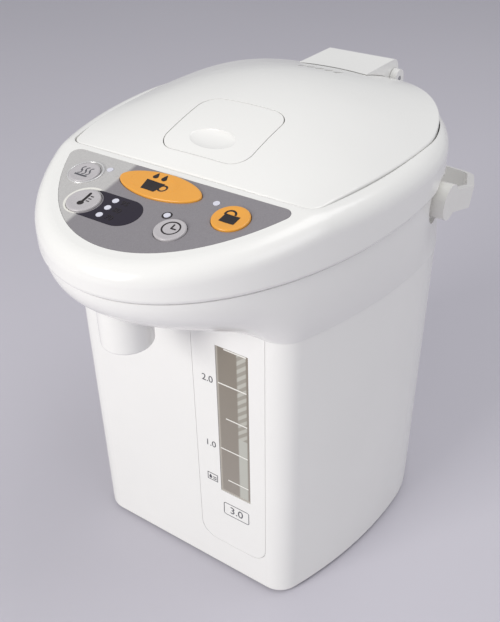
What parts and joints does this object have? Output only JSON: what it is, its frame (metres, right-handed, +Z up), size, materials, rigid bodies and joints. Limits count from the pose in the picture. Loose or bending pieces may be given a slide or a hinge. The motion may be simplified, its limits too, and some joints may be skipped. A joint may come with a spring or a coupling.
{
  "type": "electric thermo pot",
  "caption": "Electric hot-water pot with a sloped control deck, a spout under its nose, a water gauge, a hinged lid with a press lever and a carrying bail.",
  "frame": {"origin": "on the floor, under the middle of the pot's box", "axes": "+Z up, the front with the spout and the gauge faces -Y, +X to the pot's left as it looks out"},
  "size_m": [0.2248, 0.309, 0.31],
  "materials": {
    "white_abs": "glossy injection-moulded ABS",
    "bail_abs": "glossy injection-moulded ABS",
    "base_plastic": "moulded polypropylene, fine matt grain",
    "silver_paint": "silver-grey painted panel",
    "display_purple": "dark tinted acrylic",
    "lamp_lens": "milky acrylic",
    "orange_key": "satin moulded ABS",
    "pale_key": "satin moulded ABS",
    "smoked_window": "smoked clear acrylic",
    "gauge_backing": "moulded ABS",
    "clear_tube": "clear glass tube",
    "silicone": "translucent silicone",
    "stainless": "brushed stainless steel",
    "zinc_steel": "zinc-plated steel",
    "nylon": "moulded polypropylene",
    "board_green": "solder-masked board",
    "switch_black": "black moulded phenolic",
    "pin_brass": "nickel-plated brass",
    "foot_rubber": "grey rubber"
  },
  "bodies": {
    "pot": {"body_casing": "white_abs", "head_lower": "white_abs", "head_upper": "white_abs", "hinge_bracket": "white_abs", "gauge_panel": "white_abs", "spout_nozzle": "white_abs", "bail_pivots": "bail_abs", "base_plate": "base_plastic", "control_overlay": "silver_paint", "display_window": "display_purple", "lamp_lenses": "lamp_lens", "gauge_window": "smoked_window", "gauge_backing": "gauge_backing", "sight_tube": "clear_tube", "supply_hose": "silicone", "outlet_pipe": "silicone", "inner_vessel": "stainless", "suction_strainer": "stainless", "vessel_cradle": "zinc_steel", "heater_band": "zinc_steel", "hinge_pin": "zinc_steel", "base_screws": "zinc_steel", "board_screws": "zinc_steel", "pump_motor": "zinc_steel", "pump_housing": "nylon", "vessel_collar": "nylon", "temperature_sensor": "nylon", "control_board": "board_green", "power_board": "board_green", "key_switches": "switch_black", "power_inlet": "switch_black", "inlet_pins": "pin_brass", "rubber_feet": "foot_rubber"},
    "lid": {"lid_cover": "white_abs", "lid_base": "nylon", "inner_lid_plate": "stainless", "lid_gasket": "silicone", "steam_valve": "nylon", "hinge_cover": "white_abs", "lever_pin": "zinc_steel"},
    "lever": {"lid_lever": "white_abs"},
    "latch": {"latch_bolt": "white_abs"},
    "bail": {"carrying_bail": "bail_abs"},
    "dispense_key": {"dispense_button": "orange_key"},
    "unlock_key": {"unlock_button": "orange_key"},
    "reboil_key": {"reboil_button": "pale_key"},
    "temperature_key": {"temperature_button": "pale_key"},
    "timer_key": {"timer_button": "pale_key"},
    "drive": {"drive_magnet": "nylon"},
    "impeller": {"pump_impeller": "nylon"}
  },
  "joints": [
    {"name": "lid_hinge", "type": "hinge", "parent": "pot", "child": "lid", "pos_m": [0, 0.1365, 0.286], "axis": [-1, 0, 0], "range_deg": [0, 85]},
    {"name": "lever_rock", "type": "hinge", "parent": "lid", "child": "lever", "pos_m": [0, -0.0395, 0.294], "axis": [1, 0, 0], "range_deg": [0, 16], "stiffness_Nm_per_rad": 0.15},
    {"name": "latch_slide", "type": "slide", "parent": "lid", "child": "latch", "axis": [0, 1, 0], "range_m": [0, 0.004]},
    {"name": "bail_swing", "type": "hinge", "parent": "pot", "child": "bail", "pos_m": [0, 0.0405, 0.254], "axis": [1, 0, 0], "range_deg": [0, 110]},
    {"name": "dispense_press", "type": "slide", "parent": "pot", "child": "dispense_key", "axis": [0, 0.1689, -0.9856], "range_m": [0, 0.0012], "stiffness_N_per_m": 1600},
    {"name": "unlock_press", "type": "slide", "parent": "pot", "child": "unlock_key", "axis": [0, 0.1689, -0.9856], "range_m": [0, 0.0012], "stiffness_N_per_m": 1600},
    {"name": "reboil_press", "type": "slide", "parent": "pot", "child": "reboil_key", "axis": [0, 0.1689, -0.9856], "range_m": [0, 0.0012], "stiffness_N_per_m": 1600},
    {"name": "temperature_press", "type": "slide", "parent": "pot", "child": "temperature_key", "axis": [0, 0.1689, -0.9856], "range_m": [0, 0.0012], "stiffness_N_per_m": 1600},
    {"name": "timer_press", "type": "slide", "parent": "pot", "child": "timer_key", "axis": [0, 0.1689, -0.9856], "range_m": [0, 0.0012], "stiffness_N_per_m": 1600},
    {"name": "drive_spin", "type": "hinge", "parent": "pot", "child": "drive", "pos_m": [0.03, -0.0135, 0.036], "axis": [0, 0, 1], "continuous": true},
    {"name": "impeller_spin", "type": "hinge", "parent": "pot", "child": "impeller", "pos_m": [0.03, -0.0135, 0.045], "axis": [0, 0, 1], "continuous": true}
  ],
  "couplings": [
    {"joint": "latch_slide", "follows": "lever_rock", "m_per_rad": 0.014323},
    {"joint": "impeller_spin", "follows": "drive_spin", "ratio": 1}
  ]
}
